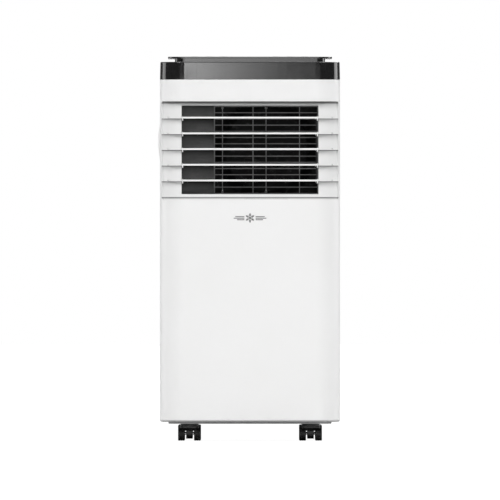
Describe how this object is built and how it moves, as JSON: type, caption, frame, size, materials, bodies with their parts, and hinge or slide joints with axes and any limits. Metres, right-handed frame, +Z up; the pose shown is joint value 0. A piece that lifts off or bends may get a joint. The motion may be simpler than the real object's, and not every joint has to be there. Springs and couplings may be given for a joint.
{
  "type": "portable air conditioner",
  "caption": "Upright portable air conditioner on twin-wheel swivel casters, with a louvred front outlet, black top panel, side grips, rear filter and a hose port.",
  "frame": {"origin": "on the floor under the middle of the object's overall box", "axes": "+X to the right seen from the front, -Y out of the front, +Z up"},
  "size_m": [0.3316, 0.3, 0.7],
  "materials": {
    "white_gloss": "white moulded plastic, soft gloss",
    "black_gloss": "piano black moulded plastic",
    "window_dark": "smoked window",
    "button_black": "satin black",
    "black_matte": "fine textured black",
    "grey_plastic": "textured grey",
    "scroll_plastic": "dark moulded",
    "motor_steel": "plated steel",
    "axle_steel": "zinc plated",
    "coil_aluminium": "fin stock",
    "compressor_paint": "black enamel on steel",
    "copper": "drawn copper",
    "black_rubber": "moulded rubber",
    "board_green": "circuit board"
  },
  "bodies": {
    "cabinet": {"base_pan": "grey_plastic", "case_screws": "axle_steel", "compressor": "compressor_paint", "compressor_mounts": "black_rubber", "condenser_coil": "coil_aluminium", "condenser_grille": "white_gloss", "control_board": "board_green", "control_plate": "black_gloss", "cord_gland": "black_rubber", "cord_hooks": "black_matte", "display_board": "board_green", "display_window": "window_dark", "drip_tray": "scroll_plastic", "electric_box": "scroll_plastic", "evaporator_coil": "coil_aluminium", "exhaust_collar": "white_gloss", "front_casing": "white_gloss", "grip_left": "white_gloss", "grip_right": "white_gloss", "guard_grille": "black_matte", "louvre_frame": "white_gloss", "lower_motor": "motor_steel", "lower_scroll": "scroll_plastic", "outlet_duct": "black_matte", "rear_casing": "white_gloss", "refrigerant_pipes": "copper", "top_cover": "black_gloss", "upper_motor": "motor_steel", "upper_scroll": "scroll_plastic"},
    "blade_1": {"blade_1": "white_gloss"},
    "blade_2": {"blade_2": "white_gloss"},
    "blade_3": {"blade_3": "white_gloss"},
    "blade_4": {"blade_4": "white_gloss"},
    "blade_5": {"blade_5": "white_gloss"},
    "blade_link": {"blade_link": "black_matte"},
    "vane_1": {"vane_1": "black_matte"},
    "vane_2": {"vane_2": "black_matte"},
    "upper_wheel": {"upper_impeller": "black_matte"},
    "lower_wheel": {"lower_impeller": "black_matte"},
    "filter": {"filter_cover": "white_gloss", "filter_mesh": "black_matte"},
    "drain_cap": {"drain_cap": "black_rubber"},
    "button_1": {"button_1": "button_black"},
    "button_2": {"button_2": "button_black"},
    "button_3": {"button_3": "button_black"},
    "button_4": {"button_4": "button_black"},
    "button_5": {"button_5": "button_black"},
    "button_6": {"button_6": "button_black"},
    "caster_front_left": {"caster_hood_front_left": "black_matte"},
    "wheels_front_left": {"caster_axle_front_left": "axle_steel", "caster_wheels_front_left": "black_matte"},
    "caster_front_right": {"caster_hood_front_right": "black_matte"},
    "wheels_front_right": {"caster_axle_front_right": "axle_steel", "caster_wheels_front_right": "black_matte"},
    "caster_rear_left": {"caster_hood_rear_left": "black_matte"},
    "wheels_rear_left": {"caster_axle_rear_left": "axle_steel", "caster_wheels_rear_left": "black_matte"},
    "caster_rear_right": {"caster_hood_rear_right": "black_matte"},
    "wheels_rear_right": {"caster_axle_rear_right": "axle_steel", "caster_wheels_rear_right": "black_matte"}
  },
  "joints": [
    {"name": "blade_3_tilt", "type": "hinge", "parent": "cabinet", "child": "blade_3", "pos_m": [0, -0.1362, 0.5313], "axis": [1, 0, 0], "range_deg": [-25, 35]},
    {"name": "blade_1_tilt", "type": "hinge", "parent": "cabinet", "child": "blade_1", "pos_m": [0, -0.1362, 0.5885], "axis": [1, 0, 0], "range_deg": [-25, 35]},
    {"name": "blade_2_tilt", "type": "hinge", "parent": "cabinet", "child": "blade_2", "pos_m": [0, -0.1362, 0.5599], "axis": [1, 0, 0], "range_deg": [-25, 35]},
    {"name": "blade_4_tilt", "type": "hinge", "parent": "cabinet", "child": "blade_4", "pos_m": [0, -0.1362, 0.5027], "axis": [1, 0, 0], "range_deg": [-25, 35]},
    {"name": "blade_5_tilt", "type": "hinge", "parent": "cabinet", "child": "blade_5", "pos_m": [0, -0.1362, 0.4741], "axis": [1, 0, 0], "range_deg": [-25, 35]},
    {"name": "blade_link_pin", "type": "hinge", "parent": "blade_3", "child": "blade_link", "pos_m": [0.1206, -0.1272, 0.5293], "axis": [1, 0, 0], "range_deg": [-35, 25]},
    {"name": "vane_1_turn", "type": "hinge", "parent": "cabinet", "child": "vane_1", "pos_m": [-0.0501, -0.113, 0.52985], "axis": [0, 0, 1], "range_deg": [-30, 30]},
    {"name": "vane_2_turn", "type": "hinge", "parent": "cabinet", "child": "vane_2", "pos_m": [0.0293, -0.113, 0.52985], "axis": [0, 0, 1], "range_deg": [-30, 30]},
    {"name": "upper_fan_spin", "type": "hinge", "parent": "cabinet", "child": "upper_wheel", "pos_m": [0.0293, -0.019, 0.52985], "axis": [0, 1, 0], "continuous": true},
    {"name": "lower_fan_spin", "type": "hinge", "parent": "cabinet", "child": "lower_wheel", "pos_m": [0.0445, -0.016, 0.151], "axis": [0, 1, 0], "continuous": true},
    {"name": "filter_pull", "type": "slide", "parent": "cabinet", "child": "filter", "axis": [0, 1, 0], "range_m": [0, 0.08]},
    {"name": "drain_cap_pull", "type": "slide", "parent": "cabinet", "child": "drain_cap", "axis": [0, 1, 0], "range_m": [0, 0.03]},
    {"name": "button_1_press", "type": "slide", "parent": "cabinet", "child": "button_1", "axis": [0, 0, -1], "range_m": [0, 0.001], "stiffness_N_per_m": 600, "springref_m": -0.001},
    {"name": "button_2_press", "type": "slide", "parent": "cabinet", "child": "button_2", "axis": [0, 0, -1], "range_m": [0, 0.001], "stiffness_N_per_m": 600, "springref_m": -0.001},
    {"name": "button_3_press", "type": "slide", "parent": "cabinet", "child": "button_3", "axis": [0, 0, -1], "range_m": [0, 0.001], "stiffness_N_per_m": 600, "springref_m": -0.001},
    {"name": "button_4_press", "type": "slide", "parent": "cabinet", "child": "button_4", "axis": [0, 0, -1], "range_m": [0, 0.001], "stiffness_N_per_m": 600, "springref_m": -0.001},
    {"name": "button_5_press", "type": "slide", "parent": "cabinet", "child": "button_5", "axis": [0, 0, -1], "range_m": [0, 0.001], "stiffness_N_per_m": 600, "springref_m": -0.001},
    {"name": "button_6_press", "type": "slide", "parent": "cabinet", "child": "button_6", "axis": [0, 0, -1], "range_m": [0, 0.001], "stiffness_N_per_m": 600, "springref_m": -0.001},
    {"name": "caster_front_left_swivel", "type": "hinge", "parent": "cabinet", "child": "caster_front_left", "pos_m": [-0.1104, -0.102, 0.031], "axis": [0, 0, 1], "continuous": true},
    {"name": "caster_front_left_roll", "type": "hinge", "parent": "caster_front_left", "child": "wheels_front_left", "pos_m": [-0.1104, -0.093, 0.0128], "axis": [1, 0, 0], "continuous": true},
    {"name": "caster_front_right_swivel", "type": "hinge", "parent": "cabinet", "child": "caster_front_right", "pos_m": [0.1104, -0.102, 0.031], "axis": [0, 0, 1], "continuous": true},
    {"name": "caster_front_right_roll", "type": "hinge", "parent": "caster_front_right", "child": "wheels_front_right", "pos_m": [0.1104, -0.093, 0.0128], "axis": [1, 0, 0], "continuous": true},
    {"name": "caster_rear_left_swivel", "type": "hinge", "parent": "cabinet", "child": "caster_rear_left", "pos_m": [-0.1104, 0.084, 0.031], "axis": [0, 0, 1], "continuous": true},
    {"name": "caster_rear_left_roll", "type": "hinge", "parent": "caster_rear_left", "child": "wheels_rear_left", "pos_m": [-0.1104, 0.093, 0.0128], "axis": [1, 0, 0], "continuous": true},
    {"name": "caster_rear_right_swivel", "type": "hinge", "parent": "cabinet", "child": "caster_rear_right", "pos_m": [0.1104, 0.084, 0.031], "axis": [0, 0, 1], "continuous": true},
    {"name": "caster_rear_right_roll", "type": "hinge", "parent": "caster_rear_right", "child": "wheels_rear_right", "pos_m": [0.1104, 0.093, 0.0128], "axis": [1, 0, 0], "continuous": true}
  ],
  "couplings": [
    {"joint": "blade_1_tilt", "follows": "blade_3_tilt", "ratio": 1},
    {"joint": "blade_2_tilt", "follows": "blade_3_tilt", "ratio": 1},
    {"joint": "blade_4_tilt", "follows": "blade_3_tilt", "ratio": 1},
    {"joint": "blade_5_tilt", "follows": "blade_3_tilt", "ratio": 1},
    {"joint": "blade_link_pin", "follows": "blade_3_tilt", "ratio": -1}
  ]
}
